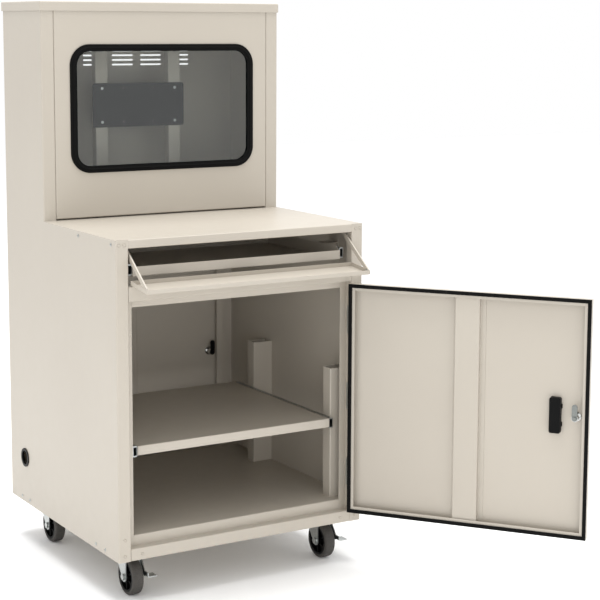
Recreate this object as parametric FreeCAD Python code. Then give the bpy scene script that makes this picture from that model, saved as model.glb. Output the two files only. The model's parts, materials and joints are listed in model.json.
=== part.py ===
import FreeCAD, Part
import math
import os

os.makedirs("parts", exist_ok=True)

# Driving dimensions, millimetres: X to the right, Y to the back, Z up from the floor

# Cabinet body
BODY_WIDTH = 760.0
BODY_DEPTH = 760.0
BODY_BOTTOM = 122.0
WORKTOP_HEIGHT = 980.0
TOTAL_HEIGHT = 1594.0
HOUSING_DEPTH = 286.0
SHEET = 1.5
BEND = 3.0
FIT = 0.3

# Front and rear openings
STILE_WIDTH = 36.0
HOUSING_STILE_WIDTH = 38.0
REAR_STILE_WIDTH = 46.0
KICK_HEIGHT = 33.0
MIDDLE_RAIL_HEIGHT = 39.0
STOP_WIDTH = 20.0
WORKTOP_LIP = 23.0
LIP_RETURN = 15.0
WORKTOP_FLANGE = 26.0
RAIL_DEPTH = 45.0
REAR_RAIL_HEIGHT = 32.0
FOOT_FLANGE = 25.0

# Doors
DOOR_THICKNESS = 22.0
DOOR_GAP = 3.0
GASKET_WIDTH = 10.0
GASKET_THICKNESS = 4.0
DOOR_RETURN = 18.0
STIFFENER_WIDTH = 67.0
STIFFENER_DEPTH = 14.0
STIFFENER_FLANGE = 16.0
FRONT_DOOR_ANGLE = 127.0
PULL_WIDTH = 31.0
PULL_HEIGHT = 98.0
PULL_DEPTH = 16.0
PULL_FROM_EDGE = 94.0
PULL_CORNER = 5.0
PULL_WALL = 2.0
PULL_BEZEL = 4.0
LOCK_FROM_EDGE = 37.0
LOCK_ABOVE_MIDDLE = 6.0
LOCK_RADIUS = 9.5
LOCK_FACE_RADIUS = 12.0
LOCK_FACE_THICKNESS = 2.5
LOCK_NUT_RADIUS = 12.5
LOCK_NUT = 4.0
KEYWAY = 2.0
KEYWAY_DEPTH = 1.5
CAM_LENGTH = 38.0
CAM_WIDTH = 15.0
CAM_THICKNESS = 3.0
CAM_BEHIND_STOP = 1.5
CAM_BOLT_RADIUS = 5.0
CAM_BOLT = 4.0

# Hinges
HINGE_LENGTH = 76.0
HINGE_BARREL_RADIUS = 3.2
HINGE_PIN_RADIUS = 1.6
HINGE_PIN_CLEARANCE = 0.05
HINGE_LEAF = 1.2
HINGE_LEAF_WIDTH = 20.0
HINGE_AXIAL_GAP = 0.3
HINGE_PROUD = 0.3
HINGE_END_INSET = 70.0

# Flap of the keyboard opening
FLAP_OPENING_HEIGHT = 100.0
FLAP_THICKNESS = 12.0
FLAP_LEAF_WIDTH = 12.0
FLAP_ANGLE = 97.0
STAY_WIDTH = 12.0
STAY_THICKNESS = 4.0
STAY_HOOK = 5.5
STAY_HOOK_RADIUS = 5.5
STAY_RISE = 94.0

# Keyboard tray
TRAY_WIDTH = 642.0
TRAY_DEPTH = 400.0
TRAY_ABOVE_FLAP = 5.0
TRAY_LIP = 26.0
TRAY_WALL = 36.0
TRAY_FRONT_SETBACK = 24.0
TRAY_WALL_ROUND = 18.0
TRAY_WALL_SETBACK = 6.0

# Printer shelf
SHELF_WIDTH = 604.0
SHELF_DEPTH = 560.0
SHELF_ABOVE_FLOOR = 237.0
SHELF_LIP = 25.0
SHELF_FRONT_SETBACK = 42.0

# Slides
SLIDE_THICKNESS = 12.7
SLIDE_HEIGHT = 30.0
SLIDE_CLEARANCE = 0.4
SLIDE_SETBACK = 4.0
TRAY_SLIDE_LENGTH = 400.0
SHELF_SLIDE_LENGTH = 550.0
BRACKET_WIDTH = 40.0
TRAY_BRACKET_FRONT = 125.0
TRAY_BRACKET_SPACING = 210.0
POST_WIDTH = 40.0
POST_HEIGHT = 377.0
POST_FRONT = 60.0
POST_SPACING = 440.0

# Window and monitor housing
CAP_LIP = 26.0
CAP_OVERHANG = 3.5
PANEL_GAP = 0.5
PANEL_FOOT_GAP = 4.0
PANEL_RETURN = 20.0
WINDOW_WIDTH = 590.0
WINDOW_HEIGHT = 364.0
WINDOW_ABOVE_WORKTOP = 313.0
WINDOW_RADIUS = 60.0
WINDOW_SIGHT_INSET = 20.0
WINDOW_LIP = 9.0
WINDOW_GROOVE = 13.0
GASKET_PROUD = 5.0
PANE_THICKNESS = 3.0
CABLE_SLOT_WIDTH = 260.0
CABLE_SLOT_DEPTH = 60.0
CABLE_SLOT_SETBACK = 40.0
MONITOR_RAIL_SPACING = 240.0
MONITOR_RAIL_WIDTH = 40.0
MONITOR_RAIL_DEPTH = 25.0
MONITOR_PLATE_SETBACK = 170.0
MONITOR_PLATE_WIDTH = 300.0
MONITOR_PLATE_HEIGHT = 130.0
MONITOR_PLATE_THICKNESS = 3.0
MONITOR_PLATE_CORNER = 8.0
MONITOR_HOLE_SPACING = 100.0
MONITOR_HOLE_RADIUS = 2.25
VENT_WIDTH = 70.0
VENT_HEIGHT = 5.0
VENT_PITCH = 14.0
VENT_ROWS = 8
VENT_COLUMN_PITCH = 95.0
VENT_COLUMNS = 5
VENT_TOP_MARGIN = 60.0
REAR_PANEL_OVERLAP = 20.0

# Floor, cable grommet and screws
FLOOR_RISE = 28.0
FLOOR_FLANGE = 30.0
CHANNEL_WIDTH = 120.0
CHANNEL_RECESS = 6.0
CHANNEL_TAB = 26.0
GROMMET_RADIUS = 27.5
GROMMET_BORE = 20.0
GROMMET_FLANGE = 3.0
GROMMET_HOLE = 24.0
GROMMET_SNAP = 1.5
GROMMET_FROM_BACK = 114.0
GROMMET_ABOVE_BOTTOM = 137.0
SCREW_HEAD_RADIUS = 4.5
SCREW_HEAD = 2.2
SCREW_RADIUS = 2.0
SCREW_LENGTH = 7.0
SCREW_CLEARANCE = 0.1
WORKTOP_SCREWS = (28.0, 236.0)
CHANNEL_SCREW_RISE = 8.0
CHANNEL_SCREW_SPACING = 60.0
REAR_SCREWS = 4
REAR_SCREW_INSET = 40.0

# Casters
CASTER_X = 305.0
CASTER_Y = 265.0
CASTER_TRAIL = 28.0
WHEEL_RADIUS = 51.0
WHEEL_WIDTH = 32.0
TYRE_THICKNESS = 9.0
TYRE_ROUND = 6.0
RIM_THICKNESS = 6.0
AXLE_RADIUS = 5.0
AXLE_CLEARANCE = 0.05
AXLE_HEAD_RADIUS = 8.5
AXLE_HEAD = 5.0
HUB_RADIUS = 15.0
HUB_CLEARANCE = 0.5
WEB_THICKNESS = 12.0
FORK_SHEET = 3.0
FORK_BEND = 5.0
FORK_SIDE_GAP = 2.5
FORK_HEAD = 14.0
FORK_HEAD_FRONT = 12.0
FORK_HEAD_BACK = 26.0
FORK_EYE = 14.0
CASTER_PLATE = 4.0
CASTER_PLATE_X = 95.0
CASTER_PLATE_Y = 68.0
CASTER_PLATE_CORNER = 6.0
RACE_RADIUS = 24.0
RACE_HEIGHT = 5.0
KINGPIN_RADIUS = 6.0
KINGPIN_SHORT = 1.0
PEDAL_THICKNESS = 3.0
PEDAL_SIDE_GAP = 0.5
PEDAL_PIVOT_FORWARD = 2.0
PEDAL_PIVOT_ABOVE = 7.0
PEDAL_ARM = 57.0
PEDAL_ARM_WIDTH = 14.0
PEDAL_ARM_ROUND = 6.5
PEDAL_ARM_TILT = 52.0
PEDAL_PAD_LENGTH = 28.0
PEDAL_PAD_WIDTH = 28.0
PEDAL_BEND = 6.0
PEDAL_PIN_RADIUS = 2.5
PEDAL_PIN_HEAD = 2.0
PEDAL_PIN_HEAD_RADIUS = 5.0

# How far a cutting solid runs past a face, and what counts as no distance
PAST = 1.0
TINY = 1e-6

# Places worked out from the driving dimensions
HALF = BODY_WIDTH / 2
FRONT = -BODY_DEPTH / 2
BACK = BODY_DEPTH / 2
HOUSING_FRONT = BACK - HOUSING_DEPTH
OPENING_HALF = HALF - STILE_WIDTH
REAR_OPENING_HALF = HALF - REAR_STILE_WIDTH
FLAP_OPENING_TOP = WORKTOP_HEIGHT - WORKTOP_LIP
FLAP_OPENING_BOTTOM = FLAP_OPENING_TOP - FLAP_OPENING_HEIGHT
DOOR_OPENING_TOP = FLAP_OPENING_BOTTOM - MIDDLE_RAIL_HEIGHT
DOOR_OPENING_BOTTOM = BODY_BOTTOM + KICK_HEIGHT
STOP_PLANE = FRONT + DOOR_THICKNESS + GASKET_THICKNESS + FIT
REAR_STOP_PLANE = BACK - DOOR_THICKNESS - FIT
FLOOR_TOP = DOOR_OPENING_BOTTOM + FLOOR_RISE
HINGE_OFFSET = HINGE_BARREL_RADIUS + HINGE_PROUD
CAP_BOTTOM = TOTAL_HEIGHT - CAP_LIP
INNER_HALF = HALF - SHEET
REAR_RAIL_TOP = DOOR_OPENING_TOP + REAR_RAIL_HEIGHT
HOUSING_OPENING_HALF = HALF - HOUSING_STILE_WIDTH
CAP_UNDERSIDE = TOTAL_HEIGHT - SHEET
GROMMET_Y = BACK - GROMMET_FROM_BACK
GROMMET_Z = BODY_BOTTOM + GROMMET_ABOVE_BOTTOM
WINDOW_CENTRE = WORKTOP_HEIGHT + WINDOW_ABOVE_WORKTOP
PANEL_BACK = HOUSING_FRONT + SHEET
PANE_FRONT = HOUSING_FRONT + SHEET / 2 - PANE_THICKNESS / 2
REAR_PANEL_BACK = BACK - SHEET - FIT
REAR_PANEL_FRONT = REAR_PANEL_BACK - SHEET
MONITOR_PLATE_FRONT = HOUSING_FRONT + MONITOR_PLATE_SETBACK
MONITOR_RAIL_FRONT = MONITOR_PLATE_FRONT + MONITOR_PLATE_THICKNESS
FLAP_AXIS = (0, FRONT - HINGE_OFFSET, FLAP_OPENING_BOTTOM + DOOR_GAP / 2)
FLAP_BOTTOM = FLAP_OPENING_BOTTOM + DOOR_GAP
FLAP_TOP = FLAP_OPENING_TOP - DOOR_GAP
FLAP_HALF = OPENING_HALF - DOOR_GAP
TRAY_FRONT = FRONT + TRAY_FRONT_SETBACK
TRAY_BOTTOM = FLAP_AXIS[2] + HINGE_OFFSET + FLAP_THICKNESS + TRAY_ABOVE_FLAP
TRAY_SLIDE_Z = TRAY_BOTTOM + TRAY_WALL / 2
SHELF_FRONT = FRONT + SHELF_FRONT_SETBACK
SHELF_TOP = FLOOR_TOP + SHELF_ABOVE_FLOOR
SHELF_SLIDE_Z = SHELF_TOP - SLIDE_HEIGHT / 2
DOOR_BOTTOM = DOOR_OPENING_BOTTOM + DOOR_GAP
DOOR_TOP = DOOR_OPENING_TOP - DOOR_GAP
LOCK_Z = (DOOR_BOTTOM + DOOR_TOP) / 2 + LOCK_ABOVE_MIDDLE
FRONT_DOOR_HALF = OPENING_HALF - DOOR_GAP
REAR_DOOR_HALF = REAR_OPENING_HALF - DOOR_GAP
FRONT_AXIS = (OPENING_HALF - DOOR_GAP / 2, FRONT - HINGE_OFFSET, 0)
REAR_AXIS = (-REAR_OPENING_HALF + DOOR_GAP / 2, BACK + HINGE_OFFSET, 0)
CAM_PLANE = DOOR_THICKNESS + GASKET_THICKNESS + FIT + SHEET + CAM_BEHIND_STOP
PULL_X = -FRONT_DOOR_HALF + PULL_FROM_EDGE
CHANNEL_BOTTOM = BODY_BOTTOM + CHANNEL_RECESS
PLATE_BOTTOM = CHANNEL_BOTTOM - CASTER_PLATE
RACE_BOTTOM = PLATE_BOTTOM - RACE_HEIGHT
FORK_TOP = RACE_BOTTOM - FIT
FORK_INNER = WHEEL_WIDTH / 2 + FORK_SIDE_GAP
AXLE_Y = -CASTER_TRAIL
PEDAL_PIVOT = (AXLE_Y - PEDAL_PIVOT_FORWARD, WHEEL_RADIUS * 2 + PEDAL_PIVOT_ABOVE)

nodes = {}


# Helpers: plain solids and folded sheet

def box(x0, x1, y0, y1, z0, z1):
    corner = FreeCAD.Vector(min(x0, x1), min(y0, y1), min(z0, z1))
    return Part.makeBox(abs(x1 - x0), abs(y1 - y0), abs(z1 - z0), corner)


def rod(radius, length, start, direction):
    return Part.makeCylinder(radius, length, FreeCAD.Vector(*start), FreeCAD.Vector(*direction))


def point(plane, u, v, w):
    if plane == "xy":
        return FreeCAD.Vector(u, v, w)
    if plane == "yz":
        return FreeCAD.Vector(w, u, v)
    return FreeCAD.Vector(u, w, v)


def prism(plane, edges, low, high):
    wire = Part.Wire(edges)
    along = point(plane, 0, 0, high) - point(plane, 0, 0, low)
    return Part.Face(wire).extrude(along)


def turn_at(before, here, after):
    a = math.atan2(here[1] - before[1], here[0] - before[0])
    b = math.atan2(after[1] - here[1], after[0] - here[0])
    return (b - a + math.pi) % (2 * math.pi) - math.pi


def unit(start, end):
    length = math.dist(start, end)
    return ((end[0] - start[0]) / length, (end[1] - start[1]) / length)


def path_edges(plane, w, points, radii):
    """Straight runs through the points, with an arc of the given radius at each inner point."""
    edges = []

    def straight(start, end):
        if math.dist(start, end) > TINY:
            edges.append(Part.LineSegment(point(plane, *start, w), point(plane, *end, w)).toShape())

    last = points[0]
    for i in range(1, len(points) - 1):
        here = points[i]
        turn = turn_at(points[i - 1], here, points[i + 1])
        reach = radii[i] * math.tan(abs(turn) / 2)
        if reach < TINY:
            straight(last, here)
            last = here
            continue
        d0 = unit(points[i - 1], here)
        d1 = unit(here, points[i + 1])
        a = (here[0] - d0[0] * reach, here[1] - d0[1] * reach)
        b = (here[0] + d1[0] * reach, here[1] + d1[1] * reach)
        side = 1 if turn > 0 else -1
        centre = (a[0] - d0[1] * side * radii[i], a[1] + d0[0] * side * radii[i])
        to_corner = unit(centre, here)
        mid = (centre[0] + to_corner[0] * radii[i], centre[1] + to_corner[1] * radii[i])
        straight(last, a)
        arc = Part.Arc(point(plane, *a, w), point(plane, *mid, w), point(plane, *b, w))
        edges.append(arc.toShape())
        last = b
    straight(last, points[-1])
    return edges


def folded(plane, skin, low, high, thickness=SHEET, bend=BEND):
    """Sheet bent along the skin line, its thickness to the left of the line, pushed from low to high."""
    offset = []
    skin_radii = [0.0] * len(skin)
    offset_radii = [0.0] * len(skin)
    for i, here in enumerate(skin):
        d0 = unit(skin[i - 1], here) if i else unit(here, skin[1])
        d1 = unit(here, skin[i + 1]) if i < len(skin) - 1 else d0
        turn = math.atan2(d0[0] * d1[1] - d0[1] * d1[0], d0[0] * d1[0] + d0[1] * d1[1])
        normal = (-d0[1] - d1[1], d0[0] + d1[0])
        size = math.hypot(*normal)
        step = thickness / math.cos(turn / 2) / size
        offset.append((here[0] + normal[0] * step, here[1] + normal[1] * step))
        if 0 < i < len(skin) - 1:
            skin_radii[i] = bend if turn > 0 else bend - thickness
            offset_radii[i] = bend - thickness if turn > 0 else bend
    edges = path_edges(plane, low, skin, skin_radii)
    back = path_edges(plane, low, offset[::-1], offset_radii[::-1])
    caps = []
    for a, b in ((skin[-1], offset[-1]), (offset[0], skin[0])):
        caps.append(Part.LineSegment(point(plane, *a, low), point(plane, *b, low)).toShape())
    return prism(plane, edges + [caps[0]] + back + [caps[1]], low, high)


def rounded(plane, u0, u1, v0, v1, radius, low, high):
    """Block with four rounded edges."""
    middle = (u0 + u1) / 2
    points = [(middle, v0), (u1, v0), (u1, v1), (u0, v1), (u0, v0), (middle, v0)]
    radii = [0.0] + [radius] * 4 + [0.0]
    return prism(plane, path_edges(plane, low, points, radii), low, high)


def edges_on(shape, axis, value):
    """Edges that lie in the plane where that axis has that value."""
    found = []
    for edge in shape.Edges:
        places = [v.Point for v in edge.Vertexes] + [edge.CenterOfMass]
        if all(abs(getattr(p, axis) - value) < FIT / 2 for p in places):
            found.append(edge)
    return found


def mirrored(shape):
    return shape.mirror(FreeCAD.Vector(0, 0, 0), FreeCAD.Vector(1, 0, 0))


def turned(shape, place, axis, angle):
    result = shape.copy()
    result.rotate(FreeCAD.Vector(*place), FreeCAD.Vector(*axis), angle)
    return result


def fused(shapes):
    result = shapes[0].multiFuse(shapes[1:]) if len(shapes) > 1 else shapes[0]
    return result.removeSplitter()


def cut(shape, tools):
    return shape.cut(Part.makeCompound(tools))


def add(name, *shapes):
    nodes[name] = shapes[0] if len(shapes) == 1 else Part.makeCompound(list(shapes))


# Cabinet shell


def side_panel():
    """Left side: one folded sheet, with the front stile, the rear stile and their jambs."""
    rear_jamb = [(-REAR_OPENING_HALF, REAR_STOP_PLANE)]
    outside = [(-REAR_OPENING_HALF, BACK), (-HALF, BACK)]
    stile = [(-HALF, FRONT), (-OPENING_HALF, FRONT)]
    jamb = [(-OPENING_HALF, STOP_PLANE)]
    housing = [(-HALF, HOUSING_FRONT), (-HOUSING_OPENING_HALF, HOUSING_FRONT)]
    housing += [(-HOUSING_OPENING_HALF, HOUSING_FRONT + PANEL_RETURN)]
    pieces = [
        folded("xy", rear_jamb + outside + stile + jamb, BODY_BOTTOM, REAR_RAIL_TOP),
        folded("xy", outside + stile + jamb, REAR_RAIL_TOP, FLAP_OPENING_TOP),
        folded("xy", outside + stile, FLAP_OPENING_TOP, WORKTOP_HEIGHT),
        folded("xy", outside + housing, WORKTOP_HEIGHT, CAP_UNDERSIDE),
    ]
    stop = OPENING_HALF - STOP_WIDTH
    pieces.append(box(-OPENING_HALF - SHEET, -stop, STOP_PLANE, STOP_PLANE + SHEET,
                      DOOR_OPENING_BOTTOM, DOOR_OPENING_TOP))
    rear_stop = REAR_OPENING_HALF - STOP_WIDTH
    pieces.append(box(-REAR_OPENING_HALF - SHEET, -rear_stop, REAR_STOP_PLANE - SHEET,
                      REAR_STOP_PLANE, DOOR_OPENING_BOTTOM, DOOR_OPENING_TOP))
    foot = [-HALF, -INNER_HALF + FOOT_FLANGE, FRONT + RAIL_DEPTH + BEND, BACK - RAIL_DEPTH - BEND]
    pieces.append(box(*foot, BODY_BOTTOM, BODY_BOTTOM + SHEET))
    return fused(pieces)


def worktop():
    half = OPENING_HALF - FIT
    wing = INNER_HALF - FIT
    wing_front = FRONT + BEND + FIT
    under = WORKTOP_HEIGHT - SHEET
    lip = [(HOUSING_FRONT, WORKTOP_HEIGHT), (FRONT, WORKTOP_HEIGHT)]
    lip += [(FRONT, FLAP_OPENING_TOP), (FRONT + LIP_RETURN, FLAP_OPENING_TOP)]
    pieces = [folded("yz", lip, -half, half)]
    for side in (-1, 1):
        pieces.append(box(side * half, side * wing, wing_front, HOUSING_FRONT, under, WORKTOP_HEIGHT))
        pieces.append(box(side * (wing - SHEET), side * wing, wing_front, HOUSING_FRONT,
                          WORKTOP_HEIGHT - WORKTOP_FLANGE, WORKTOP_HEIGHT))
    return fused(pieces)


def monitor_floor():
    wing = INNER_HALF - FIT
    back = REAR_PANEL_FRONT - FIT
    under = WORKTOP_HEIGHT - SHEET
    pieces = [box(-wing, wing, HOUSING_FRONT, back, under, WORKTOP_HEIGHT)]
    for side in (-1, 1):
        pieces.append(box(side * (wing - SHEET), side * wing, HOUSING_FRONT, back,
                          WORKTOP_HEIGHT - WORKTOP_FLANGE, WORKTOP_HEIGHT))
    slot_back = back - CABLE_SLOT_SETBACK
    slot = rounded("xy", -CABLE_SLOT_WIDTH / 2, CABLE_SLOT_WIDTH / 2, slot_back - CABLE_SLOT_DEPTH,
                   slot_back, CABLE_SLOT_DEPTH / 2, under - PAST, WORKTOP_HEIGHT + PAST)
    return cut(fused(pieces), [slot])


def top_cap():
    x = HALF + CAP_OVERHANG
    y0 = HOUSING_FRONT - CAP_OVERHANG
    y1 = BACK + CAP_OVERHANG
    shell = rounded("xy", -x, x, y0, y1, BEND, CAP_BOTTOM, TOTAL_HEIGHT)
    shell = shell.makeFillet(BEND, edges_on(shell, "z", TOTAL_HEIGHT))
    inside = box(-x + SHEET, x - SHEET, y0 + SHEET, y1 - SHEET, CAP_BOTTOM - PAST, CAP_UNDERSIDE)
    return shell.cut(inside)


def window_block(inset, y0, y1):
    half = WINDOW_WIDTH / 2 - inset
    rise = WINDOW_HEIGHT / 2 - inset
    return rounded("xz", -half, half, WINDOW_CENTRE - rise, WINDOW_CENTRE + rise,
                   WINDOW_RADIUS - inset, y0, y1)


def monitor_panel():
    half = HOUSING_OPENING_HALF - PANEL_GAP
    low = WORKTOP_HEIGHT + PANEL_FOOT_GAP
    high = CAP_UNDERSIDE - PANEL_GAP
    back = HOUSING_FRONT + PANEL_RETURN
    pan = box(-half, half, HOUSING_FRONT, back, low, high)
    pan = pan.makeFillet(BEND, edges_on(pan, "y", HOUSING_FRONT))
    inside = box(-half + SHEET, half - SHEET, PANEL_BACK, back + PAST, low + SHEET, high - SHEET)
    hole = window_block(WINDOW_LIP, HOUSING_FRONT - PAST, PANEL_BACK + PAST)
    return cut(pan, [inside, hole])


def window_gasket():
    """Rubber section with one groove for the panel's edge and one for the pane."""
    front = HOUSING_FRONT - GASKET_PROUD
    back = PANEL_BACK + GASKET_PROUD
    ring = window_block(0, front, back)
    lips = edges_on(ring, "y", front) + edges_on(ring, "y", back)
    ring = ring.makeFillet(GASKET_PROUD / 2, lips)
    ring = ring.cut(window_block(WINDOW_SIGHT_INSET, front - PAST, back + PAST))
    panel_groove = window_block(-PAST, HOUSING_FRONT, PANEL_BACK)
    panel_groove = panel_groove.cut(window_block(WINDOW_LIP, HOUSING_FRONT - PAST, PANEL_BACK + PAST))
    pane_groove = window_block(WINDOW_GROOVE, PANE_FRONT, PANE_FRONT + PANE_THICKNESS)
    return cut(ring, [panel_groove, pane_groove])


def upper_rear_panel():
    half = REAR_OPENING_HALF + REAR_PANEL_OVERLAP
    plate = box(-half, half, REAR_PANEL_FRONT, REAR_PANEL_BACK, REAR_RAIL_TOP + FIT, CAP_UNDERSIDE - FIT)
    vents = []
    for column in range(VENT_COLUMNS):
        x = (column - (VENT_COLUMNS - 1) / 2) * VENT_COLUMN_PITCH
        for row in range(VENT_ROWS):
            z = CAP_BOTTOM - VENT_TOP_MARGIN - row * VENT_PITCH
            vents.append(rounded("xz", x - VENT_WIDTH / 2, x + VENT_WIDTH / 2, z - VENT_HEIGHT / 2,
                                 z + VENT_HEIGHT / 2, VENT_HEIGHT / 2,
                                 REAR_PANEL_FRONT - PAST, REAR_PANEL_BACK + PAST))
    return cut(plate, vents)


def middle_rail():
    skin = [(FRONT + RAIL_DEPTH, FLAP_OPENING_BOTTOM), (FRONT, FLAP_OPENING_BOTTOM)]
    skin += [(FRONT, DOOR_OPENING_TOP), (STOP_PLANE + SHEET, DOOR_OPENING_TOP)]
    stop = OPENING_HALF - STOP_WIDTH - FIT
    flange = box(-stop, stop, STOP_PLANE, STOP_PLANE + SHEET,
                 DOOR_OPENING_TOP - STOP_WIDTH, DOOR_OPENING_TOP + SHEET)
    return fused([folded("yz", skin, -OPENING_HALF, OPENING_HALF), flange])


def kick_rail():
    skin = [(STOP_PLANE, DOOR_OPENING_BOTTOM), (FRONT, DOOR_OPENING_BOTTOM)]
    skin += [(FRONT, BODY_BOTTOM), (FRONT + RAIL_DEPTH, BODY_BOTTOM)]
    return folded("yz", skin, -OPENING_HALF, OPENING_HALF)


def rear_rails():
    half = REAR_OPENING_HALF
    low = [(BACK - RAIL_DEPTH, BODY_BOTTOM), (BACK, BODY_BOTTOM)]
    low += [(BACK, DOOR_OPENING_BOTTOM), (REAR_STOP_PLANE, DOOR_OPENING_BOTTOM)]
    high = [(REAR_STOP_PLANE - SHEET, DOOR_OPENING_TOP), (BACK, DOOR_OPENING_TOP)]
    high += [(BACK, REAR_RAIL_TOP), (REAR_STOP_PLANE, REAR_RAIL_TOP)]
    stop = half - STOP_WIDTH - FIT
    flange = box(-stop, stop, REAR_STOP_PLANE - SHEET, REAR_STOP_PLANE,
                 DOOR_OPENING_TOP - STOP_WIDTH, DOOR_OPENING_TOP + SHEET)
    return folded("yz", low, -half, half), fused([folded("yz", high, -half, half), flange])


def floor_panel():
    low = FLOOR_TOP - FLOOR_FLANGE
    front_half = OPENING_HALF - STOP_WIDTH - FIT
    rear_half = REAR_OPENING_HALF - STOP_WIDTH - FIT
    front = [(0, FLOOR_TOP), (STOP_PLANE, FLOOR_TOP), (STOP_PLANE, low)]
    rear = [(REAR_STOP_PLANE, low), (REAR_STOP_PLANE, FLOOR_TOP), (0, FLOOR_TOP)]
    pieces = [folded("yz", front, -front_half, front_half), folded("yz", rear, -rear_half, rear_half)]
    wing = INNER_HALF - FIT
    clear = SHEET + FIT
    pieces.append(box(-wing, wing, STOP_PLANE + clear, REAR_STOP_PLANE - clear, FLOOR_TOP - SHEET, FLOOR_TOP))
    return fused(pieces)


def caster_channel(side):
    y0 = side * CASTER_Y - CHANNEL_WIDTH / 2
    y1 = side * CASTER_Y + CHANNEL_WIDTH / 2
    top = FLOOR_TOP - SHEET
    skin = [(y0, top), (y0, CHANNEL_BOTTOM), (y1, CHANNEL_BOTTOM), (y1, top)]
    half = INNER_HALF - FIT
    tabs = []
    for end in (-1, 1):
        tabs.append(box(end * (half - SHEET), end * half, y0 + SHEET / 2, y1 - SHEET / 2,
                        CHANNEL_BOTTOM + BEND, CHANNEL_BOTTOM + CHANNEL_TAB))
    return fused([folded("yz", skin, -half, half)] + tabs)


def cable_grommet():
    out = (-1, 0, 0)
    inner_face = -INNER_HALF + GROMMET_FLANGE
    start = (inner_face, GROMMET_Y, GROMMET_Z)
    length = 2 * GROMMET_FLANGE + SHEET
    body = rod(GROMMET_HOLE, length, start, out)
    outer = rod(GROMMET_RADIUS, GROMMET_FLANGE, (-HALF, GROMMET_Y, GROMMET_Z), out)
    inner = rod(GROMMET_RADIUS - GROMMET_SNAP, GROMMET_FLANGE, start, out)
    bore = rod(GROMMET_BORE, length + 2 * PAST, (inner_face + PAST, *start[1:]), out)
    return fused([body, outer, inner]).cut(bore)


left = side_panel()
hole = rod(GROMMET_HOLE, SHEET + 2 * PAST, (-HALF - PAST, GROMMET_Y, GROMMET_Z), (1, 0, 0))
add("left_side_panel", left.cut(hole))
add("right_side_panel", mirrored(left))
add("worktop", worktop())
add("monitor_floor", monitor_floor())
add("top_cap", top_cap())
add("monitor_panel", monitor_panel())
add("window_gasket", window_gasket())
add("window_pane", window_block(WINDOW_GROOVE, PANE_FRONT, PANE_FRONT + PANE_THICKNESS))
add("upper_rear_panel", upper_rear_panel())
add("middle_rail", middle_rail())
add("kick_rail", kick_rail())
add("rear_rails", *rear_rails())
add("floor_panel", floor_panel())
add("caster_channels", caster_channel(-1), caster_channel(1))
add("cable_grommet", cable_grommet())

# Monitor rails and plate


def monitor_rail(side):
    x0 = side * MONITOR_RAIL_SPACING / 2 - MONITOR_RAIL_WIDTH / 2
    x1 = x0 + MONITOR_RAIL_WIDTH
    back = MONITOR_RAIL_FRONT + MONITOR_RAIL_DEPTH
    skin = [(x0, back), (x0, MONITOR_RAIL_FRONT), (x1, MONITOR_RAIL_FRONT), (x1, back)]
    return folded("xy", skin, WORKTOP_HEIGHT, CAP_UNDERSIDE)


def monitor_plate():
    half = MONITOR_PLATE_WIDTH / 2
    rise = MONITOR_PLATE_HEIGHT / 2
    plate = rounded("xz", -half, half, WINDOW_CENTRE - rise, WINDOW_CENTRE + rise, MONITOR_PLATE_CORNER,
                    MONITOR_PLATE_FRONT, MONITOR_RAIL_FRONT)
    holes = []
    for x in (-MONITOR_HOLE_SPACING / 2, MONITOR_HOLE_SPACING / 2):
        for z in (-MONITOR_HOLE_SPACING / 2, MONITOR_HOLE_SPACING / 2):
            start = (x, MONITOR_PLATE_FRONT - PAST, WINDOW_CENTRE + z)
            holes.append(rod(MONITOR_HOLE_RADIUS, MONITOR_PLATE_THICKNESS + 2 * PAST, start, (0, 1, 0)))
    return cut(plate, holes)


add("monitor_rails", monitor_rail(-1), monitor_rail(1))
add("monitor_plate", monitor_plate())

# Slides with what carries them, for the keyboard tray and the printer shelf


def slide_fixed(inner, y, length, z):
    rise = SLIDE_HEIGHT / 2
    web = inner + SLIDE_THICKNESS
    lip = inner + SHEET + SLIDE_CLEARANCE
    skin = [(lip, z - rise), (web, z - rise), (web, z + rise), (lip, z + rise)]
    return folded("xz", skin, y, y + length, bend=SHEET)


def slide_moving(inner, y, length, z):
    rise = SLIDE_HEIGHT / 2 - SHEET - SLIDE_CLEARANCE
    edge = inner + SLIDE_THICKNESS - SHEET - SLIDE_CLEARANCE
    skin = [(edge, z + rise), (inner, z + rise), (inner, z - rise), (edge, z - rise)]
    return folded("xz", skin, y, y + length, bend=SHEET)


def tray_bracket(y):
    inner = TRAY_WIDTH / 2 + SLIDE_THICKNESS
    top = TRAY_SLIDE_Z + SLIDE_HEIGHT / 2
    low = TRAY_SLIDE_Z - SLIDE_HEIGHT / 2
    skin = [(INNER_HALF, low), (INNER_HALF, top), (inner, top), (inner, low)]
    return folded("xz", skin, y, y + BRACKET_WIDTH)


def slide_post(y):
    inner = SHELF_WIDTH / 2 + SLIDE_THICKNESS
    skin = [(INNER_HALF, y + POST_WIDTH), (inner, y + POST_WIDTH), (inner, y), (INNER_HALF, y)]
    return folded("xy", skin, FLOOR_TOP, FLOOR_TOP + POST_HEIGHT)


def both_sides(shapes):
    return shapes + [mirrored(s) for s in shapes]


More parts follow.
